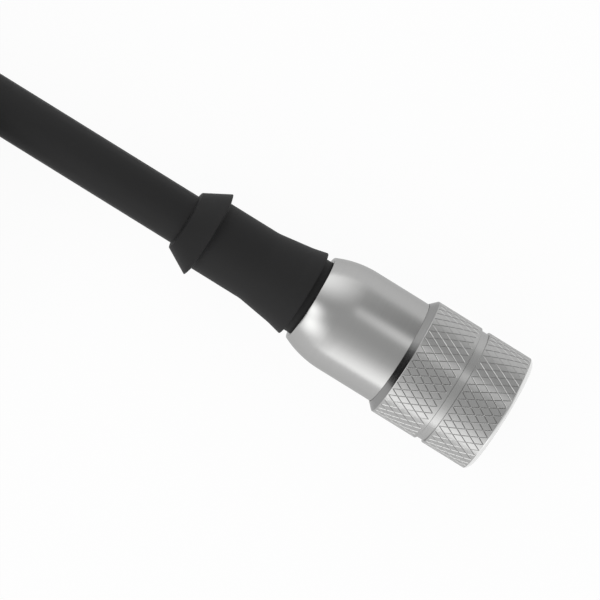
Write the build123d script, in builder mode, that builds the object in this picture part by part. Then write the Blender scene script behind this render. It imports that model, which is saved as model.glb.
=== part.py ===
from build123d import *
import os
from math import acos, ceil, cos, degrees, pi, radians, sin, sqrt, tan

# Moulded cordset with a metal shell and a screw coupling, five contacts, socket end.
# The connector's axis runs along X and its front looks along +X. It lies on its coupling nut,
# and the cable leaves the rear, comes down to the floor and is folded into a tied hank.
# Distances called "behind" are measured backwards from the nut's front face.

# Coupling nut, with its wall measured from the bore that runs on the shell
nut_wall = 0.86
nut_front_chamfer = 0.47
nut_front_chamfer_depth = 0.5
front_band = 5.79
band_gap = 0.88
band_gap_depth = 0.25
rear_band = 6.04
nut_rear_chamfer = 0.88
nut_rear_rim = 0.04
thread_diameter = 12.0
thread_pitch = 1.0
thread_lead_in = 0.54
thread_end = 8.3
running_gap = 0.04
nut_end_float = 0.2

# Diamond knurl
knurl_starts = 45
knurl_angle = 30.0
knurl_depth = 0.15

# Snap ring that holds the nut on the shell
snap_ring_behind = 10.55
snap_ring_width = 0.6
snap_ring_thickness = 0.63
snap_ring_gap = 2.0
snap_ring_side_play = 0.05
snap_seat_depth = 0.35
snap_ring_head_room = 0.1

# Metal shell
shell_diameter = 13.2
shell_wall = 1.0
shell_bare_length = 6.74
shell_dome_radius = 12.6
shell_dome_steps = 3
shell_rear_diameter = 10.98
shell_rear_land = 0.05

# Contact carrier, its lock ring and its seal
carrier_diameter = 8.7
carrier_behind = 1.2
carrier_flange = 1.6
carrier_recess = 1.4
gland_depth = 0.3
lock_ring_width = 1.0
seal_section = 1.0
keyway_width = 1.0
keyway_depth = 0.65

# Contacts
contact_circle = 5.5
contact_diameter = 1.5
contact_bore = 1.0
contact_bore_depth = 5.5
contact_length = 12.3
contact_set_back = 1.0
contact_entry = 1.2
contacts_round = 4

# Wires and fittings inside the shell
chamber_length = 7.5
sleeve_wall = 1.18
conductor_diameter = 1.25
bundle_circle = 2.8
ferrule_wall = 0.48
ferrule_collar = 0.6
ferrule_length = 2.4
braid_thickness = 0.23
braid_start = 0.2

# Moulded grip
neck_length = 0.92
neck_diameter = 9.62
flare_diameter = 10.94
flare_lip = 0.1
flare_knee_diameter = 10.12
flare_knee = 1.7
flare_length = 6.016
grip_diameter = 8.86
grip_length = 6.84
barb_diameter = 10.96
barb_lean = 0.3
barb_length = 3.16
barb_end_diameter = 7.52
barb_back = 0.14

# Clearances between parts that are pressed, moulded or slid together
bond_gap = 0.02

# Cable and its hank
cable_diameter = 6.3
tail_length = 50.35
tie_thickness = 0.8
tie_width = 6.0
tie_gap = 0.1
tie_behind_bend = 25.0
fold_radius = 19.0
hank_run = 100.0
hank_behind = 91.35
layers = 2
columns = 2

# Sides of the section that stands for a round one on the plain cable, the wires and contacts,
# and the flying leads, and the share of a run that each bend beside it takes
cable_sides = 12
wire_sides = 8
lead_sides = 6
bend_share = 0.45

# Flying leads
lead_diameter = 1.3
lead_tip_diameter = 0.9
lead_tip_length = 7.0
lead_length = 43.0
lead_straight = 7.0
lead_touch_down = 20.0

# Stations and radii worked out from the sizes above
shell_r = shell_diameter / 2
shell_bore_r = shell_r - shell_wall
nut_bore_r = shell_r + running_gap
nut_r = nut_bore_r + nut_wall
shell_rear_r = shell_rear_diameter / 2
cable_r = cable_diameter / 2
thread_triangle = sqrt(3) / 2 * thread_pitch
thread_minor_r = thread_diameter / 2 - 5 / 8 * thread_triangle

front_band_start = nut_front_chamfer
band_gap_start = front_band_start + front_band
rear_band_start = band_gap_start + band_gap
rear_chamfer_start = rear_band_start + rear_band
nut_length = rear_chamfer_start + nut_rear_chamfer

shell_front = thread_end + nut_end_float
shell_dome_start = nut_length + shell_bare_length
dome_centre_r = shell_r - shell_dome_radius
dome_angle = acos((shell_rear_r - dome_centre_r) / shell_dome_radius)
shell_dome_end = shell_dome_start + shell_dome_radius * sin(dome_angle)
shell_end = shell_dome_end + shell_rear_land

neck_r = neck_diameter / 2
flare_start = shell_end + neck_length
flare_cone_start = flare_start + flare_lip
grip_start = flare_cone_start + flare_length
barb_start = grip_start + grip_length
barb_rim = barb_start + barb_lean
barb_end = barb_rim + barb_length
connector_length = barb_end + barb_back

front_x = connector_length / 2
axis_z = nut_r
nut_axis = Axis((0, 0, axis_z), (1, 0, 0))


def station(behind):
    """The cross plane at a distance behind the front. Its x is the object's -Y and it looks to the rear."""
    return Plane(origin=(front_x - behind, 0, axis_z), x_dir=(0, -1, 0), z_dir=(-1, 0, 0))


# The plane that turned outlines are drawn in: x is the distance behind the front, y the radius.
turning = Plane(origin=(front_x, 0, axis_z), x_dir=(-1, 0, 0), z_dir=(0, 1, 0))


def turned(points):
    """A ring or bar turned about the connector's axis from the corners of its half section."""
    with BuildPart() as ring:
        with BuildSketch(turning):
            with BuildLine():
                Polyline(points, close=True)
            make_face()
        revolve(axis=nut_axis)
    return ring


def tube(start, end, inner_r, outer_r):
    """A plain tube about the connector's axis between two distances behind the front."""
    return turned([(start, inner_r), (end, inner_r), (end, outer_r), (start, outer_r)])


def finish(piece, name):
    """Names a finished piece and writes it."""
    piece.part.label = name
    export_step(piece.part, f"parts/{name}.step")


def bend_radii(points):
    """The radius of each bend of a route, as large as the two runs beside it allow."""
    runs = [b - a for a, b in zip(points, points[1:])]
    return [
        bend_share * min(a.length, b.length) / tan(radians(a.get_angle(b) / 2))
        for a, b in zip(runs, runs[1:])
    ]


def swept(points, radius, sides):
    """A plain cord, with a many sided section, along straight runs joined by tangent arcs."""
    points = [Vector(*p) for p in points]
    with BuildPart() as cord:
        with BuildLine() as route:
            FilletPolyline(points, radius=bend_radii(points))
        with BuildSketch(Plane(origin=route.line @ 0, x_dir=(0, 1, 0), z_dir=route.line % 0)):
            RegularPolygon(radius, sides)
        sweep()
    return cord


def knurled_bar(length):
    """A bar along +Z whose skin is diamonds, each of four flat facets that rise to a point.

    The V grooves between them lie at the knurl's angle to the bar, as many each way as it has
    starts. They cross on rows half a diamond apart, where the bar's ends lie too, so the bar
    comes out up to a row longer than asked.
    """
    half_step = pi / knurl_starts
    half_long = nut_r * half_step / tan(radians(knurl_angle))
    rows = ceil(length / half_long)
    root_r = nut_r - knurl_depth

    def place(row, column, r):
        return (Rotation(0, 0, degrees(column * half_step)) * Pos(r, 0, row * half_long)).position

    facets = []
    ends = {0: [], rows: []}
    for row in range(rows + 1):
        for column in range((row + 1) % 2, 2 * knurl_starts, 2):
            point = place(row, column, nut_r)
            left = place(row, column - 1, root_r)
            right = place(row, column + 1, root_r)
            for neighbour in (row - 1, row + 1):
                if 0 <= neighbour <= rows:
                    crossing = place(neighbour, column, root_r)
                    facets += [[left, point, crossing], [right, point, crossing]]
            if row in ends:
                ends[row] += [left, point]
    facets += ends.values()
    return Solid(Shell([Face(Wire.make_polygon(corners)) for corners in facets]))


def knurled_band(bar, length, bore_r):
    """A tube of the given length cut from a knurled bar."""
    with BuildPart() as band:
        add(bar)
        with BuildSketch():
            Circle(bore_r)
        extrude(amount=2 * length, mode=Mode.SUBTRACT)
        split(bisect_by=Plane.XY.offset(length), keep=Keep.BOTTOM)
    return band


os.makedirs("parts", exist_ok=True)

# The coupling nut: a turned core with the thread's bore in front and the shell's running bore
# behind, and two knurled bands laid on it.
core_r = nut_r - band_gap_depth
band_bore_r = core_r - knurl_depth
snap_seat_r = shell_r - snap_seat_depth
snap_ring_r = snap_seat_r + bond_gap + snap_ring_thickness
snap_room_r = snap_ring_r + snap_ring_head_room
snap_ring_end = snap_ring_behind + snap_ring_width

bar = knurled_bar(max(front_band, rear_band))
bands = [
    (band_gap_start, knurled_band(bar, front_band, band_bore_r)),
    (rear_chamfer_start, knurled_band(bar, rear_band, band_bore_r)),
]
with BuildPart() as coupling_nut:
    with BuildSketch(turning):
        with BuildLine():
            Polyline(
                (0, thread_minor_r + thread_lead_in),
                (0, nut_r - nut_front_chamfer_depth),
                (front_band_start, nut_r),
                (front_band_start, core_r),
                (rear_chamfer_start, core_r),
                (rear_chamfer_start, nut_r),
                (nut_length, nut_bore_r + nut_rear_rim),
                (nut_length, nut_bore_r),
                (snap_ring_end + nut_end_float, nut_bore_r),
                (snap_ring_end + nut_end_float, snap_room_r),
                (snap_ring_behind - nut_end_float, snap_room_r),
                (snap_ring_behind - nut_end_float, nut_bore_r),
                (thread_end, nut_bore_r),
                (thread_end, thread_minor_r),
                (thread_lead_in, thread_minor_r),
                close=True,
            )
        make_face()
    revolve(axis=nut_axis)
    for band_end, band in bands:
        with Locations(-station(band_end)):
            add(band.part)
finish(coupling_nut, "coupling_nut")

# The snap ring sits in a groove of the shell and reaches into a wider groove of the nut.
with BuildPart() as snap_ring:
    with BuildSketch(station(snap_ring_behind)):
        Circle(snap_ring_r)
        Circle(snap_seat_r + bond_gap, mode=Mode.SUBTRACT)
        with Locations((0, snap_ring_r)):
            Rectangle(snap_ring_gap, snap_ring_r, mode=Mode.SUBTRACT)
    extrude(amount=snap_ring_width)
finish(snap_ring, "nut_snap_ring")

# The metal shell: a straight sleeve, bored to a shoulder, with a domed rear that closes in on
# the moulded neck. The dome is turned from short chords of its arc.
mouth_r = neck_r + bond_gap
shoulder_start = shell_dome_start - bond_gap
snap_seat_start = snap_ring_behind - snap_ring_side_play
snap_seat_end = snap_ring_end + snap_ring_side_play
dome_turns = [dome_angle * n / shell_dome_steps for n in range(shell_dome_steps + 1)]
dome = [
    (shell_dome_start + shell_dome_radius * sin(a), dome_centre_r + shell_dome_radius * cos(a))
    for a in dome_turns
]
shield_shell = turned(
    [
        (shell_front, shell_bore_r),
        (shell_front, shell_r),
        (snap_seat_start, shell_r),
        (snap_seat_start, snap_seat_r),
        (snap_seat_end, snap_seat_r),
        (snap_seat_end, shell_r),
        *dome,
        (shell_end, shell_rear_r),
        (shell_end, mouth_r),
        (shell_dome_start, mouth_r),
        (shell_dome_start, shell_bore_r),
    ]
)
finish(shield_shell, "shield_shell")

# The contact carrier: a barrel that the mating half slides over, keyed in front, with a gland
# for the seal and a flange that the lock ring holds in the shell.
carrier_r = carrier_diameter / 2
gland_r = carrier_r - gland_depth
lock_ring_start = shell_front + carrier_recess - lock_ring_width
flange_start = shell_front + carrier_recess
carrier_end = flange_start + carrier_flange
fitted_r = shell_bore_r - bond_gap
gland_start = lock_ring_start - seal_section - bond_gap
contact_r = contact_diameter / 2
contact_start = carrier_behind + contact_set_back
with BuildPart() as contact_carrier:
    with BuildSketch(turning):
        with BuildLine():
            Polyline(
                (carrier_behind, 0),
                (carrier_behind, carrier_r),
                (gland_start, carrier_r),
                (gland_start, gland_r),
                (flange_start, gland_r),
                (flange_start, fitted_r),
                (carrier_end, fitted_r),
                (carrier_end, 0),
                close=True,
            )
        make_face()
    revolve(axis=nut_axis)
    with BuildSketch(station(carrier_behind)):
        with Locations((0, carrier_r)):
            Rectangle(keyway_width, 2 * keyway_depth)
    extrude(amount=gland_start - carrier_behind, mode=Mode.SUBTRACT)
    contact_places = PolarLocations(contact_circle / 2, contacts_round, 180 / contacts_round)
    holes = (
        (carrier_behind, contact_set_back, contact_entry / 2, cable_sides),
        (contact_start, carrier_end - contact_start, contact_r + bond_gap, wire_sides),
    )
    for start, depth, hole_r, sides in holes:
        with BuildSketch(station(start)):
            RegularPolygon(hole_r, sides, major_radius=False)
            with contact_places:
                RegularPolygon(hole_r, sides, major_radius=False)
        extrude(amount=depth, mode=Mode.SUBTRACT)
finish(contact_carrier, "contact_carrier")

finish(tube(lock_ring_start, flange_start, gland_r + bond_gap, fitted_r), "carrier_lock_ring")

# The seal lies in the carrier's gland, against the lock ring.
seal_bore_r = gland_r + bond_gap
seal = tube(gland_start + bond_gap, lock_ring_start, seal_bore_r, seal_bore_r + seal_section)
finish(seal, "seal_ring")

# The sockets and the insulated wires that run from them to the cable.
# Number 1 to 4 stand on the contact circle and number 5 in the middle.
contact_end = contact_start + contact_length
chamber_end = carrier_end + chamber_length
conductor_r = conductor_diameter / 2
for number in range(1, contacts_round + 2):
    middle = number > contacts_round
    angle = (number - 0.5) * 360 / contacts_round
    out = 0 if middle else 1
    spot = Vector(out, 0, 0).rotate(Axis.Z, angle)
    socket_place = spot * (contact_circle / 2)
    bundle_place = spot * (bundle_circle / 2)
    with BuildPart() as contact:
        with BuildSketch(station(contact_start)):
            with Locations((socket_place.X, socket_place.Y)):
                RegularPolygon(contact_r, wire_sides)
        extrude(amount=contact_length)
        with BuildSketch(station(contact_start)):
            with Locations((socket_place.X, socket_place.Y)):
                RegularPolygon(contact_bore / 2, wire_sides, major_radius=False)
        extrude(amount=contact_bore_depth, mode=Mode.SUBTRACT)
    finish(contact, f"contact_{number}")

    course = [station(contact_end) * Pos(socket_place), station(chamber_end) * Pos(bundle_place)]
    reach = course[1].position - course[0].position
    with BuildPart() as conductor:
        with BuildSketch(Plane(course[0])):
            RegularPolygon(conductor_r, wire_sides)
        extrude(amount=reach.length, dir=reach)
    finish(conductor, f"conductor_{number}")

# A sleeve keeps the wires apart from the shell and holds the carrier against the lock ring.
wire_sleeve = tube(carrier_end, chamber_end, fitted_r - sleeve_wall, fitted_r)
finish(wire_sleeve, "wire_sleeve")

# The cable's end inside the connector, its screen folded back over the jacket, and the crimped
# ferrule whose collar meets the shell.
with BuildPart() as cable_entry:
    with BuildSketch(station(chamber_end)):
        Circle(cable_r)
    extrude(amount=connector_length - chamber_end)
finish(cable_entry, "cable_entry")

braid_r = cable_r + bond_gap + braid_thickness
ferrule_end = chamber_end + ferrule_length
finish(tube(chamber_end + braid_start, ferrule_end, cable_r + bond_gap, braid_r), "screen_braid")

ferrule_bore_r = braid_r + bond_gap
ferrule_r = ferrule_bore_r + ferrule_wall
collar_end = chamber_end + ferrule_collar
ferrule = turned(
    [
        (chamber_end, ferrule_bore_r),
        (chamber_end, fitted_r),
        (collar_end, fitted_r),
        (collar_end, ferrule_r),
        (ferrule_end, ferrule_r),
        (ferrule_end, ferrule_bore_r),
    ]
)
finish(ferrule, "crimp_ferrule")

# The moulded grip: it fills the shell's rear, passes its mouth as a neck, flares out against
# it and ends in a barb that a protective hose can be pushed over.
grip_bore_r = cable_r + bond_gap
grip_r = grip_diameter / 2
flare_r = flare_diameter / 2
with BuildPart() as moulded_grip:
    with BuildSketch(turning):
        with BuildLine():
            Polyline(
                (collar_end, fitted_r),
                (shoulder_start, fitted_r),
                (shoulder_start, neck_r),
                (flare_start, neck_r),
                (flare_start, flare_r),
                (flare_cone_start, flare_r),
                (flare_cone_start + flare_knee, flare_knee_diameter / 2),
                (grip_start, grip_r),
                (barb_start, grip_r),
                (barb_rim, barb_diameter / 2),
                (barb_end, barb_end_diameter / 2),
                (connector_length, grip_bore_r),
                (ferrule_end, grip_bore_r),
                (ferrule_end, ferrule_r + bond_gap),
                (collar_end, ferrule_r + bond_gap),
                close=True,
            )
        make_face()
    revolve(axis=nut_axis)
finish(moulded_grip, "moulded_grip")

# The free cable. Its hank lies on two ties beside the connector's line, so that the cable runs
# straight into its outer turn.
floor_turn_z = tie_thickness + tie_gap + cable_r
turn_pitch = cable_diameter
top_turn_z = floor_turn_z + (layers - 1) * turn_pitch
hank_near_x = front_x - hank_behind
outer_turn_r = fold_radius + (columns - 1) * turn_pitch
hank_centre_y = -outer_turn_r
exit_x = front_x - connector_length
cable_route = [
    (exit_x, 0, axis_z),
    (exit_x - 13.5, 0, axis_z),
    (exit_x - 35.5, 0, floor_turn_z),
    (hank_near_x, 0, floor_turn_z),
]
cable = swept(cable_route, cable_r, cable_sides)
finish(cable, "cable")

# The end of the cable rests on top, in the hollow between the two columns of turns.
tail_y = -turn_pitch / 2
tail_z = top_turn_z + sqrt(turn_pitch**2 - tail_y**2)
tail_end_x = hank_near_x - tail_length
with BuildPart() as cable_hank:
    with BuildSketch(Plane.XY.offset(floor_turn_z - cable_r)):
        with Locations((hank_near_x - hank_run / 2, hank_centre_y)):
            SlotCenterToCenter(hank_run, 2 * (outer_turn_r + cable_r))
            SlotCenterToCenter(hank_run, 2 * (fold_radius - cable_r), mode=Mode.SUBTRACT)
    extrude(amount=top_turn_z - floor_turn_z + cable_diameter)
    with BuildSketch(Plane(origin=(tail_end_x, tail_y, tail_z), z_dir=(1, 0, 0))):
        RegularPolygon(cable_r, cable_sides)
    extrude(amount=tail_length)
finish(cable_hank, "cable_hank")

# A tie round each side of the hank, drawn tight round the outermost turns it holds.
tie_x = hank_near_x - tie_behind_bend
near_columns = [-n * turn_pitch for n in range(columns)]
far_columns = [2 * hank_centre_y - y for y in near_columns]
for number, ys in ((1, near_columns), (2, far_columns)):
    held = [(y, z) for y in ys for z in (floor_turn_z, top_turn_z)]
    if number == 1:
        held.append((tail_y, tail_z))
    tie_plane = Plane(origin=(tie_x, 0, 0), x_dir=(0, 1, 0), z_dir=(1, 0, 0))
    with BuildPart() as hank_tie:
        for around, mode in ((tie_gap + tie_thickness, Mode.ADD), (tie_gap, Mode.SUBTRACT)):
            with BuildSketch(tie_plane):
                with Locations(*held):
                    Rectangle(2 * (cable_r + around), 2 * (cable_r + around))
                make_hull()
            extrude(amount=tie_width / 2, both=True, mode=mode)
    finish(hank_tie, f"hank_tie_{number}")

# The flying leads leave the jacket's end, spread and lie down on the hank. Each is followed by
# where it stands round the cable's middle and by how far to the side it lies at its two bends.
lead_r = lead_diameter / 2
lead_rest_z = top_turn_z + cable_r + lead_r + bond_gap
lead_spread = {
    "brown": (45, 3.2, 4.3),
    "white": (135, 1.6, 2.2),
    "blue": (None, 0.1, 0.1),
    "black": (225, -1.4, -2.1),
    "grey": (315, -3.0, -4.2),
}
with BuildPart() as lead_tips:
    for colour, (angle, aside, end_aside) in lead_spread.items():
        spot = Vector(bundle_circle / 2, 0).rotate(Axis.Z, angle) if angle else Vector(0, 0)
        start = Vector(tail_end_x, tail_y + spot.Y, tail_z + spot.X)
        end = Vector(tail_end_x - lead_length, tail_y + end_aside, lead_rest_z)
        lead_route = [
            start,
            start - Vector(lead_straight, 0, 0),
            Vector(tail_end_x - lead_touch_down, tail_y + aside, lead_rest_z),
            end,
        ]
        lead = swept(lead_route, lead_r, lead_sides)
        finish(lead, f"lead_{colour}")
        with BuildSketch(Plane(origin=end, z_dir=end - lead_route[-2])):
            RegularPolygon(lead_tip_diameter / 2, lead_sides)
        extrude(amount=lead_tip_length)
finish(lead_tips, "lead_tips")

print("cable radii", [round(r, 1) for r in bend_radii([Vector(*p) for p in cable_route])])
print("lead radii", [round(r, 1) for r in bend_radii(lead_route)])
section = cable_sides / 2 * cable_r**2 * sin(2 * pi / cable_sides)
print("cable volume", cable.part.volume, "length", cable.part.volume / section)
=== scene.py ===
from math import asin, atan2, cos, degrees, hypot, pi, radians, sin, sqrt, tan

import bmesh
import bpy
from mathutils import Matrix, Vector


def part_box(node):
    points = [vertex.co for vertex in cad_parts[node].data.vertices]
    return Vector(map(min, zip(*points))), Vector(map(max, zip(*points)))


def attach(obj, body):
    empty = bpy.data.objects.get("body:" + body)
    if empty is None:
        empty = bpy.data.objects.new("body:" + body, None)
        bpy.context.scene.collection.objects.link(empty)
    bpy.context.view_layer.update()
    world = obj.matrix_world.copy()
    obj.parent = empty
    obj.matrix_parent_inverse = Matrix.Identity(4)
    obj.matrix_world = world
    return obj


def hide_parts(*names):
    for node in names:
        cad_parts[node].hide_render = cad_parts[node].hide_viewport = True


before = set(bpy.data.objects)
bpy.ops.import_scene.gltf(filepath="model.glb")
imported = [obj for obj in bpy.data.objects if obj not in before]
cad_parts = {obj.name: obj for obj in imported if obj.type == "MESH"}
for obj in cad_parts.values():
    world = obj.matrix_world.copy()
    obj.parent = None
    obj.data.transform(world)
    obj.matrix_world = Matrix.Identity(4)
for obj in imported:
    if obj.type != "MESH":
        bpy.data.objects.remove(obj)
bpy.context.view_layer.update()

# Everything is in metres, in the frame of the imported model: the connector's axis runs along X,
# its front looks along +X, and distances called "behind" are measured back from that front.
MM = 0.001
FRONT_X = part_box("coupling_nut")[1].x
AXIS_Z = 7.5 * MM
EXIT_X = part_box("moulded_grip")[0].x
ROOT = "cordset"
NUT = "nut"
ROUND = 270  # segments round a turned piece
SMALL_ROUND = ROUND // 2  # segments round one that is hardly seen
COLLECTION = bpy.context.scene.collection


# Materials

NOISE_LOW, NOISE_HIGH = 0.3, 0.7  # the part of a noise's range that is spread over a material's


def material(name, color, roughness, **sockets):
    """A Principled material with its constant values on the shader's own sockets."""
    made = bpy.data.materials.new(name)
    made.use_nodes = True
    shader = made.node_tree.nodes["Principled BSDF"]
    shader.inputs["Base Color"].default_value = (*color, 1)
    shader.inputs["Roughness"].default_value = roughness
    for socket, value in sockets.items():
        shader.inputs[socket].default_value = value
    return made


def node(tree, kind, links=None, **settings):
    """A node of a tree with its settings, and its inputs set from values or linked sockets."""
    made = tree.nodes.new(kind)
    for key, value in settings.items():
        setattr(made, key, value)
    for key, value in (links or {}).items():
        if isinstance(value, bpy.types.NodeSocket):
            tree.links.new(value, made.inputs[key])
        else:
            made.inputs[key].default_value = value
    return made


def textured(name, color, roughness, grain, stretch=(1, 1, 1), bump=0.1, depth=0.02 * MM,
             vary=0.06, rough_vary=0.05, detail=3, **sockets):
    """A material whose colour, roughness and height vary with one noise.

    grain is the noise's size, vary the share by which the colour changes, and rough_vary the
    amount by which the roughness does.
    """
    made = material(name, color, roughness, **sockets)
    tree = made.node_tree
    shader = tree.nodes["Principled BSDF"]
    place = node(tree, "ShaderNodeTexCoord").outputs["Object"]
    stretched = node(tree, "ShaderNodeMapping", {"Vector": place, "Scale": stretch}).outputs[0]
    noise = node(
        tree, "ShaderNodeTexNoise", {"Vector": stretched, "Scale": 1 / grain, "Detail": detail}
    ).outputs["Fac"]
    low, high = ([min(1, c * (1 + way * vary)) for c in color] for way in (-1, 1))
    ramp = node(tree, "ShaderNodeValToRGB", {"Fac": noise})
    for stop, position, shade in zip(
        ramp.color_ramp.elements, (NOISE_LOW, NOISE_HIGH), (low, high)
    ):
        stop.color = (*shade, 1)
        stop.position = position
    tree.links.new(ramp.outputs["Color"], shader.inputs["Base Color"])
    rough = node(
        tree,
        "ShaderNodeMapRange",
        {"Value": noise, "From Min": NOISE_LOW, "From Max": NOISE_HIGH,
         "To Min": roughness - rough_vary, "To Max": roughness + rough_vary},
    )
    tree.links.new(rough.outputs["Result"], shader.inputs["Roughness"])
    height = node(
        tree, "ShaderNodeBump", {"Height": noise, "Strength": bump, "Distance": depth}
    ).outputs["Normal"]
    tree.links.new(height, shader.inputs["Normal"])
    return made


RINGS_ONLY = (1, 0.02, 0.02)  # a noise stretched like this varies only along the axis
DRAWN_OUT = (0.3, 1, 1)  # and like this it is longer along a cable
METAL = {"Metallic": 1.0}
SATIN_METAL = {**METAL, "Specular Tint": (0.74, 0.74, 0.74, 1)}
DULL = {"Specular IOR Level": 0.22}

nickel = textured(
    "satin_nickel", (0.435, 0.435, 0.43), 0.26, 0.25 * MM, RINGS_ONLY, bump=0.03,
    depth=0.001 * MM, vary=0.01, rough_vary=0.01, detail=1, **SATIN_METAL,
)
# A darker copy of the nut's nickel for its rear chamfer: painted shade.
painted_shade_nickel = textured(
    "painted_shade_nickel", (0.29, 0.29, 0.288), 0.24, 0.1 * MM, RINGS_ONLY, bump=0.05,
    depth=0.001 * MM, vary=0.03, rough_vary=0.02, detail=1, **SATIN_METAL,
)
# A lighter copy of the nut's nickel for its front rim: a painted highlight.
painted_highlight_nickel = textured(
    "painted_highlight_nickel", (0.8, 0.8, 0.795), 0.24, 0.1 * MM, RINGS_ONLY, bump=0.05,
    depth=0.001 * MM, vary=0.02, rough_vary=0.02, detail=1, **METAL,
)
ring_steel = textured(
    "ring_steel", (0.42, 0.42, 0.43), 0.3, 0.1 * MM, RINGS_ONLY, depth=0.004 * MM, **METAL
)
gilt = textured(
    "gilt_contact", (0.83, 0.62, 0.28), 0.22, 0.1 * MM, RINGS_ONLY, depth=0.003 * MM, **METAL
)
tinned = textured(
    "tinned_copper", (0.62, 0.6, 0.57), 0.35, 0.15 * MM, bump=0.2, depth=0.01 * MM, **METAL
)
grip_plastic = textured(
    "moulded_black", (0.0168, 0.0168, 0.0171), 0.66, 0.18 * MM, bump=0.12, depth=0.01 * MM,
    vary=0.08, **DULL,
)
jacket_plastic = textured(
    "jacket_black", (0.0168, 0.0168, 0.0171), 0.64, 0.3 * MM, DRAWN_OUT, depth=0.01 * MM,
    vary=0.08, **DULL,
)
carrier_plastic = textured(
    "carrier_black", (0.022, 0.022, 0.0225), 0.45, 0.12 * MM, bump=0.15, depth=0.008 * MM,
    vary=0.1,
)
seal_rubber = textured("seal_rubber", (0.02, 0.02, 0.02), 0.5, 0.25 * MM, depth=0.01 * MM)
tie_rubber = textured(
    "tie_rubber", (0.03, 0.03, 0.031), 0.62, 0.35 * MM, bump=0.25, depth=0.03 * MM, vary=0.12
)
sleeve_plastic = textured("sleeve_natural", (0.62, 0.6, 0.55), 0.5, 0.4 * MM, depth=0.01 * MM)
LEAD_COLORS = {
    "brown": (0.16, 0.06, 0.025),
    "white": (0.75, 0.74, 0.71),
    "blue": (0.02, 0.08, 0.36),
    "black": (0.022, 0.022, 0.023),
    "grey": (0.26, 0.26, 0.27),
}
insulation = {
    name: textured(
        f"insulation_{name}", color, 0.42, 0.3 * MM, DRAWN_OUT, bump=0.08, depth=0.006 * MM,
        vary=0.05,
    )
    for name, color in LEAD_COLORS.items()
}


# Meshes

MERGED = 0.0005 * MM  # points closer than this become one


def turned_point(behind, r, angle, centre=(0, 0)):
    """A point of a turned piece: its distance behind the front, its radius and its angle.

    Angle 0 is up and a quarter turn is towards -Y. The piece's own axis may stand off the
    connector's by centre, towards -Y and up.
    """
    y = -centre[0] - r * sin(angle)
    return Vector((FRONT_X - behind, y, AXIS_Z + centre[1] + r * cos(angle)))


def piece(name, bm, body, look, replaces=(), smooth_angle=35):
    """Turns a bmesh into an object that rides on a body and stands for its nodes."""
    bmesh.ops.remove_doubles(bm, verts=bm.verts, dist=MERGED)
    bmesh.ops.dissolve_degenerate(bm, edges=bm.edges, dist=MERGED)
    bmesh.ops.recalc_face_normals(bm, faces=bm.faces)
    for face in bm.faces:
        face.smooth = True
    for edge in bm.edges:
        if len(edge.link_faces) == 2 and edge.calc_face_angle(0) > radians(smooth_angle):
            edge.smooth = False
    mesh = bpy.data.meshes.new(name)
    bm.to_mesh(mesh)
    bm.free()
    mesh.materials.append(look)
    made = bpy.data.objects.new(name, mesh)
    COLLECTION.objects.link(made)
    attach(made, body)
    if replaces:
        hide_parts(*replaces)
    return made


def face_of(bm, points):
    bm.faces.new([bm.verts.new(p) for p in points])


def strip(bm, low, high):
    """Quads between two closed rows of points of the same length."""
    count = len(low)
    for i in range(count):
        j = (i + 1) % count
        face_of(bm, (low[i], low[j], high[j], high[i]))


def ring(behind, r, angles, centre=(0, 0)):
    return [turned_point(behind, r, angle, centre) for angle in angles]


def turn(bm, outline, angles, closed=True, centre=(0, 0)):
    """Sweeps an outline of (behind, radius) pairs round an axis."""
    pairs = list(zip(outline, outline[1:]))
    if closed:
        pairs.append((outline[-1], outline[0]))
    for a, b in pairs:
        strip(bm, ring(*a, angles, centre), ring(*b, angles, centre))


def even_angles(count):
    return [2 * pi * i / count for i in range(count)]


def eased(outline, corners, steps=3):
    """The outline with some corners rounded: corners maps a point's index to its radius."""
    rounded = []
    count = len(outline)
    for i, here in enumerate(outline):
        radius = corners.get(i)
        if radius is None:
            rounded.append(here)
            continue
        p = Vector(here)
        a = (Vector(outline[i - 1]) - p).normalized()
        b = (Vector(outline[(i + 1) % count]) - p).normalized()
        half = a.angle(b) / 2
        centre = p + (a + b).normalized() * (radius / sin(half))
        first = p + a * (radius / tan(half)) - centre
        last = p + b * (radius / tan(half)) - centre
        sweep = first.angle(last)
        for k in range(steps + 1):
            t = k / steps
            part = (first * sin((1 - t) * sweep) + last * sin(t * sweep)) / sin(sweep)
            rounded.append(tuple(centre + part))
    return rounded


def arc(centre, radius, first, last, steps):
    """Outline points on an arc. Angle 0 points away from the axis, and 90 degrees to the rear."""
    turns = [radians(first + (last - first) * k / steps) for k in range(steps + 1)]
    return [(centre[0] + radius * sin(a), centre[1] + radius * cos(a)) for a in turns]


# The metal shell: a straight tube whose rear is drawn in by an arc that runs out in a small edge


def make_shell():
    outer_r = 6.6 * MM
    bore_r = 5.6 * MM
    front = 8.5 * MM
    dome_start = 21.09 * MM
    dome_r = 11.9 * MM
    rear = 26.19 * MM
    mouth_r = 4.83 * MM
    edge = 0.15 * MM
    slope = degrees(asin((rear - edge - dome_start) / (dome_r - edge)))
    middle = (dome_start, outer_r - dome_r)
    edge_middle = arc(middle, dome_r - edge, slope, slope, 1)[0]
    outline = [
        (front, bore_r),
        (front, outer_r),
        *arc(middle, dome_r, 0, slope, 24),
        *arc(edge_middle, edge, slope, 90, 5)[1:],
        (rear, mouth_r),
        (dome_start, mouth_r),
        (dome_start, bore_r),
    ]
    bm = bmesh.new()
    turn(bm, eased(outline, {1: edge, len(outline) - 3: edge / 2}), even_angles(ROUND))
    piece("metal_shell", bm, ROOT, nickel, ["shield_shell"])


# The moulded grip: a neck in the shell's mouth, a flare, a waist and a barb


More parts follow.
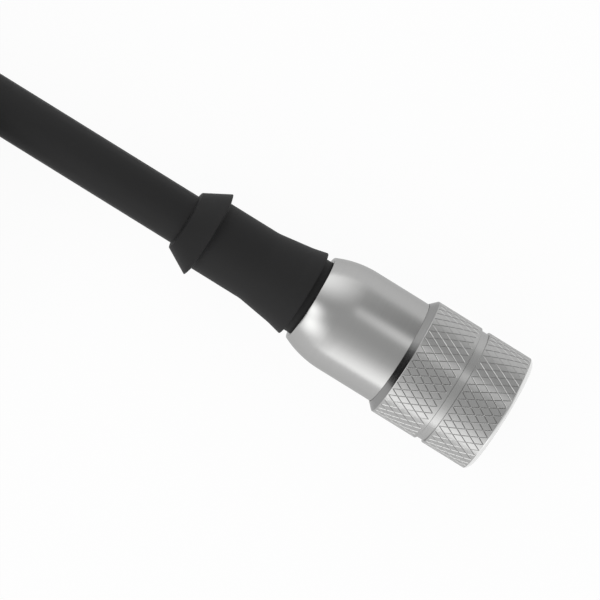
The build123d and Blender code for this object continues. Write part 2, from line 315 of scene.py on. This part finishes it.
def make_grip():
    neck_r = 4.81 * MM
    neck_start = 24.5 * MM
    flare_start = 27.13 * MM
    flare_r = 5.46 * MM
    lip = 0.1 * MM
    knee = 28.93 * MM
    knee_r = 5.06 * MM
    waist_start = 33.24 * MM
    waist_r = 4.43 * MM
    barb_start = 39.93 * MM
    barb_r = 5.48 * MM
    barb_rim = 40.25 * MM
    barb_end = 43.37 * MM
    barb_end_r = 3.75 * MM
    end = FRONT_X - EXIT_X
    bore_r = 3.17 * MM
    sharp = 0.06 * MM
    soft = 5.0 * MM
    outline = [
        (neck_start, bore_r),
        (neck_start, neck_r),
        (flare_start, neck_r),
        (flare_start, flare_r),
        (flare_start + lip, flare_r),
        (knee, knee_r),
        (waist_start, waist_r),
        (barb_start, waist_r),
        (barb_rim, barb_r),
        (barb_end, barb_end_r),
        (end, bore_r),
    ]
    corners = {2: sharp, 3: sharp, 5: soft, 6: soft, 7: sharp, 8: sharp, 9: 2 * sharp}
    bm = bmesh.new()
    turn(bm, eased(outline, corners, 5), even_angles(ROUND))
    piece("overmoulded_grip", bm, ROOT, grip_plastic, ["moulded_grip"])


# The coupling nut: its knurl has flat topped diamonds between narrow V grooves, and its bore has
# the thread's ridges. A knurl's cell is the diamond between two grooves each way. Its corners are
# counted by i along one set of grooves and by j along the other.
NUT_R = 7.5 * MM
NUT_BORE_R = 6.64 * MM
GROOVE_R = 7.25 * MM
NUT_LENGTH = 13.94 * MM
REAR_CHAMFER = 0.81 * MM
REAR_RIM = 0.04 * MM
FRONT_CHAMFER = 0.47 * MM
FRONT_CHAMFER_DEPTH = 0.5 * MM
FRONT_RIM_STEPS = 8
FRONT_RIM_BULGE = 0.45  # 0 is a plain chamfer and 1 a full round
FRONT_BAND_END = 6.16 * MM
REAR_BAND_START = 7.17 * MM
KNURL_STARTS = 45
KNURL_ANGLE = radians(30)  # between a groove and the axis
KNURL_HALF_STEP = pi / KNURL_STARTS
KNURL_HALF_ROW = NUT_R * KNURL_HALF_STEP / tan(KNURL_ANGLE)
KNURL_ROWS = 6
KNURL_REAR_RIM = 0.1 * MM
KNURL_RUN_OUT = 0.05 * MM
KNURL_DEPTH = 0.06 * MM
KNURL_GROOVE = 0.12 * MM
GROOVE_SHARE = KNURL_GROOVE / 2 / (2 * NUT_R * KNURL_HALF_STEP * cos(KNURL_ANGLE))
TOP_CUTS = (0.36, 0.64)  # two lines across a flat top, so that it follows the nut's round
CELL_STEPS = (0, GROOVE_SHARE, *TOP_CUTS, 1 - GROOVE_SHARE, 1)
KNURL_STATIONS = [(n, t) for n in range(KNURL_STARTS) for t in CELL_STEPS[:-1]]
NUT_ANGLES = [2 * KNURL_HALF_STEP * (n + t) for n, t in KNURL_STATIONS]


def knurl_point(rear, i, j, s, t):
    """A point of the knurl's cell i, j at shares s and t between its two pairs of grooves."""
    depth = max(0, *(1 - min(q, 1 - q) / GROOVE_SHARE for q in (s, t))) * KNURL_DEPTH
    turned_by = (i + s + j + t) * KNURL_HALF_STEP
    return turned_point(rear - (i + s - j - t) * KNURL_HALF_ROW, NUT_R - depth, turned_by)


def knurl_band(bm, front, rear):
    """Lays the knurl's cells between two plain rims. Cells on the end rows are cut in half."""
    lattice_rear = rear - KNURL_REAR_RIM
    lattice_front = lattice_rear - KNURL_ROWS * KNURL_HALF_ROW
    steps = list(zip(CELL_STEPS, CELL_STEPS[1:]))
    for row in range(KNURL_ROWS + 1):
        for j in range(KNURL_STARTS):
            i = j + row
            for a, (s0, s1) in enumerate(steps):
                for b, (t0, t1) in enumerate(steps):
                    corners = [(s0, t0), (s1, t0), (s1, t1), (s0, t1)]
                    if row == 0 and a <= b:
                        corners = [(s0, t0), (s1, t0), (s1, t1)] if a == b else []
                    if row == KNURL_ROWS and a >= b:
                        corners = [(s0, t0), (s1, t1), (s0, t1)] if a == b else []
                    if corners:
                        face_of(bm, [knurl_point(lattice_rear, i, j, *c) for c in corners])
    for row, rim in ((0, KNURL_RUN_OUT), (KNURL_ROWS, -KNURL_RUN_OUT)):
        edge = [knurl_point(lattice_rear, n + row, n, t, t) for n, t in KNURL_STATIONS]
        angles = [(2 * (n + t) + row) * KNURL_HALF_STEP for n, t in KNURL_STATIONS]
        plain = ring(lattice_rear - row * KNURL_HALF_ROW + rim, NUT_R, angles)
        strip(bm, edge, plain)
    turn(bm, [(front, NUT_R), (lattice_front - KNURL_RUN_OUT, NUT_R)], NUT_ANGLES, False)
    turn(bm, [(lattice_rear + KNURL_RUN_OUT, NUT_R), (rear, NUT_R)], NUT_ANGLES, False)


THREAD_R = 6.0 * MM
THREAD_CREST_R = 5.459 * MM
THREAD_PITCH = 1.0 * MM
THREAD_START = 0.05 * MM
THREAD_END = 8.0 * MM
THREAD_PROFILE = ((0, 0), (0.1, 0), (0.4, 1), (0.7, 1))  # shares of the pitch and of the height
RUN_IN = THREAD_PITCH  # length over which the first ridge rises
RUN_OUT = THREAD_PITCH / 2  # and over which the last one falls


def thread_bore(bm, angles):
    """The thread's bore: its profile follows a helix and is cut off square at both ends."""
    turns = [*angles, 2 * pi]
    ridges = int((THREAD_END - THREAD_START) / THREAD_PITCH) + 2
    rows = [
        (lead + along, height) for lead in range(-1, ridges) for along, height in THREAD_PROFILE
    ]

    def place(row, angle):
        along, height = row
        behind = THREAD_START + (along + angle / (2 * pi)) * THREAD_PITCH
        risen = min(1, max(0, (behind - THREAD_START) / RUN_IN))
        left = min(1, max(0, (THREAD_END - behind) / RUN_OUT))
        r = THREAD_R - height * (THREAD_R - THREAD_CREST_R) * min(risen, left)
        return turned_point(min(max(behind, THREAD_START), THREAD_END), r, angle)

    for low, high in zip(rows, rows[1:]):
        for a, b in zip(turns, turns[1:]):
            face_of(bm, (place(low, a), place(low, b), place(high, b), place(high, a)))


def make_nut():
    """The nut in three pieces: its body, a rear chamfer darkened as painted shade and a front rim
    lightened as a painted highlight.
    """
    edge = 0.04 * MM
    crisp = 0.012 * MM
    snap_front = 10.35 * MM
    snap_rear = 11.35 * MM
    snap_r = 7.0 * MM
    relief_end = 8.3 * MM
    rear_band_end = NUT_LENGTH - REAR_CHAMFER
    cone_r = NUT_R - edge / 3
    rim_r = NUT_R - FRONT_CHAMFER_DEPTH
    rim_floor = rim_r - 2 * edge
    front = [
        (THREAD_START, THREAD_R),
        (0, THREAD_R + THREAD_START),
        (0, rim_floor),
        (FRONT_CHAMFER, rim_floor),
        (FRONT_CHAMFER, NUT_R),
        (FRONT_CHAMFER + edge, NUT_R),
    ]
    middle = [
        (FRONT_BAND_END - edge, NUT_R),
        (FRONT_BAND_END - crisp, NUT_R),
        (FRONT_BAND_END, NUT_R - crisp),
        (FRONT_BAND_END, GROOVE_R + crisp),
        (FRONT_BAND_END + crisp, GROOVE_R),
        (REAR_BAND_START - edge, GROOVE_R),
        (REAR_BAND_START, GROOVE_R + edge),
        (REAR_BAND_START, NUT_R - edge),
        (REAR_BAND_START + edge, NUT_R),
    ]
    rear = [
        (rear_band_end - edge, NUT_R),
        (rear_band_end, cone_r),
        (rear_band_end, NUT_BORE_R),
        (snap_rear, NUT_BORE_R),
        (snap_rear, snap_r),
        (snap_front, snap_r),
        (snap_front, NUT_BORE_R),
        (relief_end, NUT_BORE_R),
        (relief_end, THREAD_R),
        (THREAD_END, THREAD_R),
    ]
    bm = bmesh.new()
    turn(bm, front, NUT_ANGLES, False)
    knurl_band(bm, FRONT_CHAMFER + edge, FRONT_BAND_END - edge)
    turn(bm, middle, NUT_ANGLES, False)
    knurl_band(bm, REAR_BAND_START + edge, rear_band_end - edge)
    turn(bm, rear, NUT_ANGLES, False)
    thread_bore(bm, NUT_ANGLES)
    piece(
        "knurled_nut", bm, NUT, nickel, ["coupling_nut"], smooth_angle=12
    )

    # The rear chamfer, in the darker copy of the nickel that paints shade on it.
    cone = [
        (rear_band_end, NUT_BORE_R),
        (rear_band_end, cone_r),
        (NUT_LENGTH - edge / 2, NUT_BORE_R + REAR_RIM + edge / 2),
        (NUT_LENGTH, NUT_BORE_R + REAR_RIM),
        (NUT_LENGTH, NUT_BORE_R),
    ]
    bm = bmesh.new()
    turn(bm, cone, NUT_ANGLES)
    piece("nut_rear_cone", bm, NUT, painted_shade_nickel)

    # The front rim, in the lighter copy of the nickel that paints a highlight on it.
    rim = [(FRONT_CHAMFER, rim_floor), (0, rim_floor)]
    for k in range(FRONT_RIM_STEPS + 1):
        t = k / FRONT_RIM_STEPS
        along = t + FRONT_RIM_BULGE * (1 - cos(t * pi / 2) - t)
        out = t + FRONT_RIM_BULGE * (sin(t * pi / 2) - t)
        rim.append((FRONT_CHAMFER * along, rim_r + FRONT_CHAMFER_DEPTH * out))
    bm = bmesh.new()
    turn(bm, rim, NUT_ANGLES)
    piece("nut_front_rim", bm, NUT, painted_highlight_nickel)


# The contact carrier, its sockets and its seal
CARRIER_FRONT = 1.2 * MM
CARRIER_R = 4.35 * MM
KEYWAY_HALF_WIDTH = 0.5 * MM
KEYWAY_FLOOR_R = 3.7 * MM
SOCKET_CIRCLE_R = 2.75 * MM
SOCKET_PLACES = [(0, 0)] + [
    (SOCKET_CIRCLE_R * cos(radians(a)), SOCKET_CIRCLE_R * sin(radians(a)))
    for a in (45, 135, 225, 315)
]


def carrier_contour(behind, inset):
    """The barrel's edge at a station, with its keyway, moved in by inset."""
    r = CARRIER_R - inset
    half_width = KEYWAY_HALF_WIDTH + inset
    floor_r = KEYWAY_FLOOR_R - inset
    side = asin(half_width / r)
    steps = 96
    turns = [side + (2 * pi - 2 * side) * k / steps for k in range(steps + 1)]
    points = [turned_point(behind, r, a) for a in turns]
    bottom_side = atan2(half_width, floor_r)
    bottom_r = hypot(half_width, floor_r)
    points.append(turned_point(behind, bottom_r, -bottom_side))
    points.append(turned_point(behind, bottom_r, bottom_side))
    return points


def make_carrier():
    chamfer = 0.15 * MM
    barrel_end = 7.88 * MM
    entry_r = 0.6 * MM
    lead_in = 0.12 * MM
    entry_depth = 1.15 * MM
    step_r = 4.05 * MM
    flange_start = 9.9 * MM
    flange_end = 11.5 * MM
    flange_r = 5.58 * MM
    core_r = 0.5 * MM
    hole_angles = even_angles(36)
    contours = [
        carrier_contour(CARRIER_FRONT, chamfer),
        carrier_contour(CARRIER_FRONT + chamfer, 0),
        carrier_contour(barrel_end, 0),
    ]
    holes = [ring(CARRIER_FRONT, entry_r + lead_in, hole_angles, c) for c in SOCKET_PLACES]
    bm = bmesh.new()
    edges = []
    for loop in (contours[0], *holes):
        verts = [bm.verts.new(p) for p in loop]
        edges += [bm.edges.new((a, b)) for a, b in zip(verts, verts[1:] + verts[:1])]
    bmesh.ops.triangle_fill(bm, use_beauty=True, use_dissolve=False, edges=edges)
    strip(bm, contours[0], contours[1])
    strip(bm, contours[1], contours[2])
    face_of(bm, contours[2])
    wall = [
        (CARRIER_FRONT, entry_r + lead_in),
        (CARRIER_FRONT + lead_in, entry_r),
        (CARRIER_FRONT + entry_depth, entry_r),
    ]
    for centre in SOCKET_PLACES:
        turn(bm, wall, hole_angles, False, centre)
    flange = [
        (barrel_end, core_r),
        (barrel_end, step_r),
        (flange_start, step_r),
        (flange_start, flange_r),
        (flange_end, flange_r),
        (flange_end, core_r),
    ]
    turn(bm, flange, even_angles(SMALL_ROUND))
    piece(
        "socket_carrier", bm, ROOT, carrier_plastic, ["contact_carrier"],
        smooth_angle=30,
    )


def make_sockets():
    front = 2.2 * MM
    rear = 14.5 * MM
    outer_r = 0.75 * MM
    outer_lead = 0.15 * MM
    bore_r = 0.5 * MM
    bore_lead = 0.1 * MM
    bore_end = 7.7 * MM
    bottom_r = 0.3 * MM
    mouth_r = 0.58 * MM
    rim_r = 0.62 * MM
    outline = [
        (front, rim_r),
        (front + outer_lead, outer_r),
        (rear, outer_r),
        (rear, bottom_r),
        (bore_end, bore_r),
        (front + bore_lead, bore_r),
        (front, mouth_r),
    ]
    around = even_angles(32)
    order = (1, 2, 3, 4, 0)  # the middle contact is the last
    for number, place in enumerate(order, start=1):
        bm = bmesh.new()
        turn(bm, outline, around, centre=SOCKET_PLACES[place])
        piece(f"socket_{number}", bm, ROOT, gilt, [f"contact_{number}"])


def make_seal():
    middle = (8.41 * MM, 4.58 * MM)
    section_r = 0.49 * MM
    steps = 24
    section = arc(middle, section_r, 0, 360 - 360 / steps, steps - 1)
    bm = bmesh.new()
    turn(bm, section, even_angles(SMALL_ROUND))
    piece("front_seal", bm, ROOT, seal_rubber, ["seal_ring"])


# The camera: straight above the connector but for a few degrees towards its cable, and rolled so
# that the axis runs down to the right.
VIEW_WIDTH = 70.0 * MM
CAMERA_DISTANCE = 2.4
CAMERA_TILT = radians(5.55)
AXIS_DOWN = radians(31.79)
CENTRE_BEHIND = 27.09 * MM
CENTRE_ASIDE = 0.89 * MM


def make_camera():
    data = bpy.data.cameras.new("camera")
    data.sensor_width = 36
    data.lens = data.sensor_width * CAMERA_DISTANCE / VIEW_WIDTH
    data.clip_start = 0.01
    data.clip_end = 50
    camera = bpy.data.objects.new("camera", data)
    COLLECTION.objects.link(camera)
    back = Vector((-sin(CAMERA_TILT), 0, cos(CAMERA_TILT)))
    along = Vector((cos(CAMERA_TILT), 0, sin(CAMERA_TILT)))
    across = back.cross(along)
    right = along * cos(AXIS_DOWN) + across * sin(AXIS_DOWN)
    up = across * cos(AXIS_DOWN) - along * sin(AXIS_DOWN)
    target = Vector((FRONT_X - CENTRE_BEHIND, -CENTRE_ASIDE, AXIS_Z))
    place = Matrix((right, up, back)).transposed().to_4x4()
    place.translation = target + back * CAMERA_DISTANCE
    camera.matrix_world = place
    bpy.context.scene.camera = camera


# The cable: straight out of the grip, down to the floor, and into its hank
CABLE_R = 3.15 * MM
TURN = 2 * CABLE_R  # from one turn of the hank to the next
STRAIGHT_OUT = 13.5 * MM  # from the grip's end to where the cable starts down
TOUCH_DOWN = 35.5 * MM  # and to where it reaches the floor
HANK_NEAR_X = FRONT_X - 91.35 * MM
HANK_RUN = 100.0 * MM
HANK_FAR_X = HANK_NEAR_X - HANK_RUN
FLOOR_TURN_Z = 4.05 * MM
TOP_TURN_Z = FLOOR_TURN_Z + TURN
INNER_R = 19.0 * MM
OUTER_R = INNER_R + TURN
TAIL_LENGTH = 50.35 * MM
TAIL_Y = -TURN / 2
TAIL_Z = TOP_TURN_Z + sqrt(TURN**2 - TAIL_Y**2)
TAIL_END_X = HANK_NEAR_X - TAIL_LENGTH
BEND_STEPS = 6
BEND_END = 6.5 * MM  # from a bend to the run's point that ends it


def bend(side, y_in, y_out, z_in, z_out):
    """Control points of a half turn at one end of the hank, which may climb to the next layer."""
    centre_y = (y_in + y_out) / 2
    r = abs(y_out - y_in) / 2
    corner_r = r / cos(radians(90 / BEND_STEPS))
    way = 1 if y_out > y_in else -1
    middle_x = HANK_NEAR_X if side > 0 else HANK_FAR_X
    points = []
    for k in range(BEND_STEPS):
        turned = (k + 0.5) / BEND_STEPS
        climbed = turned * turned * (3 - 2 * turned)
        points.append(
            (middle_x + side * corner_r * sin(pi * turned),
             centre_y - way * corner_r * cos(pi * turned),
             z_in + (z_out - z_in) * climbed)
        )
    return points


def hank_points():
    """The hank's four turns: each is a run away, a far bend, a run back and a near bend."""
    near = [0, -TURN, -TURN, 0, TAIL_Y]
    far = [y - 2 * OUTER_R for y in (0, TURN, TURN, 0)]
    heights = [FLOOR_TURN_Z, FLOOR_TURN_Z, TOP_TURN_Z, TOP_TURN_Z, TAIL_Z]
    points = []
    for y, far_y, z, next_y, next_z in zip(near, far, heights, near[1:], heights[1:]):
        points += [(HANK_NEAR_X - BEND_END, y, z), (HANK_FAR_X + BEND_END, y, z)]
        points += bend(-1, y, far_y, z, z)
        points += [(HANK_FAR_X + BEND_END, far_y, z), (HANK_NEAR_X - BEND_END, far_y, z)]
        points += bend(1, far_y, next_y, z, next_z)
    points += [(HANK_NEAR_X - BEND_END, TAIL_Y, TAIL_Z), (TAIL_END_X, TAIL_Y, TAIL_Z)]
    return points


def cord_curve(name, points, radius, look):
    """A round cord along a NURBS spline with the given control points."""
    data = bpy.data.curves.new(name, "CURVE")
    data.dimensions = "3D"
    data.bevel_depth = radius
    data.bevel_resolution = 6
    data.resolution_u = 8
    data.use_fill_caps = True
    spline = data.splines.new("NURBS")
    spline.points.add(len(points) - 1)
    for target, point in zip(spline.points, points):
        target.co = (*point, 1)
    spline.order_u = 3
    spline.use_endpoint_u = True
    data.materials.append(look)
    made = bpy.data.objects.new(name, data)
    COLLECTION.objects.link(made)
    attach(made, ROOT)
    return made


def make_cable():
    route = [
        (EXIT_X, 0, AXIS_Z),
        (EXIT_X - STRAIGHT_OUT, 0, AXIS_Z),
        (EXIT_X - TOUCH_DOWN, 0, FLOOR_TURN_Z),
        (HANK_NEAR_X, 0, FLOOR_TURN_Z),
    ]
    made = cord_curve(
        "signal_cable", route + hank_points(), CABLE_R, jacket_plastic
    )
    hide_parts("cable", "cable_hank")
    return made


# What is on the cable: its stripped end and the two ties
LEAD_R = 0.65 * MM
LEAD_LENGTH = 43.0 * MM
LEAD_STRAIGHT = 7.0 * MM
LEAD_TOUCH_DOWN = 20.0 * MM
LEADS_R = 1.4 * MM  # of the circle on which the outer leads leave the jacket
LEAD_GAP = 0.02 * MM  # above the hank on which the leads lie
LEAD_REST_Z = TOP_TURN_Z + CABLE_R + LEAD_R + LEAD_GAP
LEAD_SPREAD = {  # angle round the cable, and distance from its middle at touch down and at the end
    "brown": (45, 3.2 * MM, 4.3 * MM),
    "white": (135, 1.6 * MM, 2.2 * MM),
    "blue": (None, 0.1 * MM, 0.1 * MM),
    "black": (225, -1.4 * MM, -2.1 * MM),
    "grey": (315, -3.0 * MM, -4.2 * MM),
}


def lead_rest(behind_cut, aside):
    """A place where a lead lies on the hank."""
    return Vector((TAIL_END_X - behind_cut, TAIL_Y + aside, LEAD_REST_Z))


def make_leads():
    leads = []
    for color, (angle, aside, end_aside) in LEAD_SPREAD.items():
        out = LEADS_R if angle else 0
        turned = radians(angle or 0)
        start = Vector((TAIL_END_X, TAIL_Y + out * sin(turned), TAIL_Z + out * cos(turned)))
        points = [
            start,
            start - Vector((LEAD_STRAIGHT, 0, 0)),
            lead_rest(LEAD_TOUCH_DOWN, aside),
            lead_rest(LEAD_LENGTH, end_aside),
        ]
        lead = cord_curve(
            f"wire_{color}", points, LEAD_R, insulation[color]
        )
        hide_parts(f"lead_{color}")
        leads.append(lead)
    return leads


STRAND_R = 0.15 * MM
STRAND_LAY = 7.0 * MM  # length over which a strand goes round once
OUTER_STRANDS = 6
TIP_LENGTH = 7.0 * MM
TIP_INSET = 0.05  # share of the tip's length that the strands reach into the insulation


def make_lead_tips():
    """The bare end of each lead: a middle strand and the outer ones twisted round it."""
    bm = bmesh.new()
    steps = 14
    around = even_angles(8)
    up = Vector((0, 0, 1))
    for _, aside, end_aside in LEAD_SPREAD.values():
        end = lead_rest(LEAD_LENGTH, end_aside)
        along = (end - lead_rest(LEAD_TOUCH_DOWN, aside)).normalized()
        side = along.cross(up)
        for strand in range(OUTER_STRANDS + 1):
            out = 2 * STRAND_R if strand < OUTER_STRANDS else 0
            rows = []
            for k in range(steps + 1):
                reach = TIP_LENGTH * (k / steps * (1 + TIP_INSET) - TIP_INSET)
                twist = strand * 2 * pi / OUTER_STRANDS + 2 * pi * reach / STRAND_LAY
                middle = end + along * reach + side * (out * cos(twist)) + up * (out * sin(twist))
                rows.append(
                    [middle + side * (STRAND_R * cos(a)) + up * (STRAND_R * sin(a))
                     for a in around]
                )
            for low, high in zip(rows, rows[1:]):
                strip(bm, low, high)
            face_of(bm, rows[0])
            face_of(bm, rows[-1])
    return piece(
        "bare_strands", bm, ROOT, tinned, ["lead_tips"], smooth_angle=60
    )


def make_cable_end():
    """The filling that shows where the jacket is cut and the leads come out."""
    cut = FRONT_X - TAIL_END_X
    inside = cut - 0.3 * MM
    shoulder = cut + 0.25 * MM
    round_end = cut + 0.4 * MM
    end = cut + 0.45 * MM
    core_r = 0.01 * MM
    inside_r = 2.45 * MM
    shoulder_r = 2.4 * MM
    round_end_r = 2.2 * MM
    outline = [
        (inside, core_r),
        (inside, inside_r),
        (shoulder, shoulder_r),
        (round_end, round_end_r),
        (end, core_r),
    ]
    around = even_angles(48)
    bm = bmesh.new()
    turn(bm, outline, around, centre=(-TAIL_Y, TAIL_Z - AXIS_Z))
    return piece("cable_filler", bm, ROOT, sleeve_plastic)


TIE_X = HANK_NEAR_X - 25.0 * MM
TIE_WIDTH = 6.0 * MM
TIE_THICKNESS = 0.8 * MM
TIE_GAP = 0.1 * MM
TIE_EDGE = 0.3 * MM


def tie_ring(held, x, out, steps=8):
    """The line at x round the held cables' middles, drawn tight at the radius out."""
    count = len(held)
    points = []
    for i, here in enumerate(held):
        before = Vector(here) - Vector(held[i - 1])
        after = Vector(held[(i + 1) % count]) - Vector(here)
        first = atan2(before.x, -before.y)
        sweep = (first - atan2(after.x, -after.y)) % (2 * pi)
        for k in range(steps + 1):
            a = first - sweep * k / steps
            points.append((x, here[0] + out * cos(a), here[1] + out * sin(a)))
    return points


def make_ties():
    near = [
        (0, FLOOR_TURN_Z),
        (-TURN, FLOOR_TURN_Z),
        (-TURN, TOP_TURN_Z),
        (TAIL_Y, TAIL_Z),
        (0, TOP_TURN_Z),
    ]
    far = [(y - 2 * OUTER_R + TURN, z) for y, z in near if z != TAIL_Z]
    inner = CABLE_R + TIE_GAP
    outer = inner + TIE_THICKNESS
    half = TIE_WIDTH / 2
    section = [(-half, inner), (half, inner), (half, outer), (-half, outer)]
    section = eased(section, {i: TIE_EDGE for i in range(len(section))})
    ties = []
    for number, held in ((1, near), (2, far)):
        bm = bmesh.new()
        rings = [tie_ring(held, TIE_X + dx, out) for dx, out in section]
        for low, high in zip(rings, rings[1:] + rings[:1]):
            strip(bm, low, high)
        ties.append(
            piece(
                f"rubber_tie_{number}", bm, ROOT, tie_rubber,
                [f"hank_tie_{number}"],
            )
        )
    return ties


make_camera()
make_shell()
make_grip()
make_nut()
make_carrier()
make_sockets()
make_seal()
cable = make_cable()
on_cable = [*make_leads(), make_lead_tips(), make_cable_end(), *make_ties()]


# The CAD nodes that keep their own shape get their finish here.
NODE_LOOKS = {
    "nut_snap_ring": ring_steel,
    "carrier_lock_ring": ring_steel,
    "wire_sleeve": sleeve_plastic,
    "cable_entry": jacket_plastic,
    "screen_braid": tinned,
    "crimp_ferrule": nickel,
    **{f"conductor_{n}": insulation[c] for n, c in enumerate(LEAD_COLORS, start=1)},
}


def dress_nodes():
    for name, look in NODE_LOOKS.items():
        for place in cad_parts[name].material_slots:
            place.material = look


dress_nodes()


# The stage: a pale floor under soft studio light. The camera sees the floor and the surroundings
# as white, and reflections see the floor so too. The floor keeps the object's shadow.
FLOOR_HALF = 30.0
FLOOR_GAP = 0.02 * MM
FLOOR_WHITE = 0.95
FLOOR_SHADOW_SHARE = 0.06
SKY = ((0.0, 0.75), (0.25, 0.4), (0.6, 0.4), (1.0, 0.6))  # brightness by height of direction
SOFT_BOXES = (  # direction, reach in degrees and brightness
    ((0.34, -0.92, 0.13), 50, 1.7),
    ((0.93, -0.33, 0.15), 38, 0.4),
    ((0.1, -0.64, 0.77), 30, 0.24),
    ((-0.61, -0.67, 0.42), 37, 2.75),
    ((-0.61, 0.75, 0.27), 55, 1.35),
    ((0.24, 0.44, 0.86), 17, 1.05),
    ((-0.67, -0.25, 0.70), 20, 2.2),
)
DARK_SIDE = ((-0.93, -0.36, 0.02), 42)  # direction and reach in degrees
DARK_SIDE_LEVEL = 0.02
DARK_SIDE_FULL = 0.25  # the lobe's value from which on the dark side is at that level


def math_node(tree, operation, *values):
    """The result of a Math node with the given values or sockets."""
    made = node(tree, "ShaderNodeMath", dict(enumerate(values)), operation=operation)
    return made.outputs[0]


def make_floor():
    bm = bmesh.new()
    bmesh.ops.create_grid(bm, x_segments=1, y_segments=1, size=FLOOR_HALF)
    mesh = bpy.data.meshes.new("floor")
    bm.to_mesh(mesh)
    bm.free()
    look = material("floor_white", (FLOOR_WHITE,) * 3, 0.9, **{"Specular IOR Level": 0.0})
    tree = look.node_tree
    lit = tree.nodes["Principled BSDF"].outputs[0]
    path = node(tree, "ShaderNodeLightPath").outputs
    mirrored = math_node(tree, "MAXIMUM", path["Is Glossy Ray"], path["Is Transmission Ray"])
    sees_white = math_node(tree, "MAXIMUM", path["Is Camera Ray"], mirrored)
    share = math_node(tree, "MULTIPLY", sees_white, 1 - FLOOR_SHADOW_SHARE)
    glow = node(tree, "ShaderNodeEmission", {"Color": (1, 1, 1, 1), "Strength": 1.0}).outputs[0]
    mixed = node(tree, "ShaderNodeMixShader", {0: share, 1: lit, 2: glow}).outputs[0]
    tree.links.new(mixed, tree.nodes["Material Output"].inputs["Surface"])
    mesh.materials.append(look)
    floor_plane = bpy.data.objects.new("floor", mesh)
    floor_plane.location.z = -FLOOR_GAP
    COLLECTION.objects.link(floor_plane)


def lobe(tree, way, direction, reach):
    """A soft round patch of the surroundings: 1 at its middle and 0 from reach degrees away."""
    towards = node(
        tree, "ShaderNodeVectorMath", {0: way, 1: Vector(direction).normalized()},
        operation="DOT_PRODUCT",
    ).outputs["Value"]
    share = node(
        tree, "ShaderNodeMapRange", {"Value": towards, "From Min": cos(radians(reach))}
    ).outputs["Result"]
    return math_node(tree, "POWER", share, 2.0)


def make_world():
    """The studio: a sky by height, soft boxes and one dark side. The camera sees plain white."""
    world = bpy.data.worlds.new("studio")
    bpy.context.scene.world = world
    world.use_nodes = True
    tree = world.node_tree
    way = node(tree, "ShaderNodeTexCoord").outputs["Generated"]
    height = node(tree, "ShaderNodeSeparateXYZ", {0: way}).outputs["Z"]
    sky = node(tree, "ShaderNodeValToRGB", {"Fac": height})
    ramp = sky.color_ramp.elements
    for stop, (position, level) in zip(ramp, (SKY[0], SKY[-1])):
        stop.position, stop.color = position, (*[level] * 3, 1)
    for position, level in SKY[1:-1]:
        ramp.new(position).color = (*[level] * 3, 1)
    light = sky.outputs["Color"]
    for direction, reach, level in SOFT_BOXES:
        light = math_node(
            tree, "MULTIPLY_ADD", lobe(tree, way, direction, reach), level, light
        )
    shade = node(
        tree, "ShaderNodeMapRange",
        {"Value": lobe(tree, way, *DARK_SIDE), "From Max": DARK_SIDE_FULL,
         "To Min": 1.0, "To Max": DARK_SIDE_LEVEL},
    ).outputs["Result"]
    light = math_node(tree, "MULTIPLY", light, shade)
    camera_ray = node(tree, "ShaderNodeLightPath").outputs["Is Camera Ray"]
    strength = node(
        tree, "ShaderNodeMix", {0: camera_ray, 2: light, 3: 1.0}, data_type="FLOAT"
    ).outputs[0]
    background = tree.nodes["Background"].inputs
    tree.links.new(strength, background["Strength"])
    background["Color"].default_value = (1, 1, 1, 1)


make_floor()
make_world()
bpy.context.scene.view_settings.view_transform = "Standard"
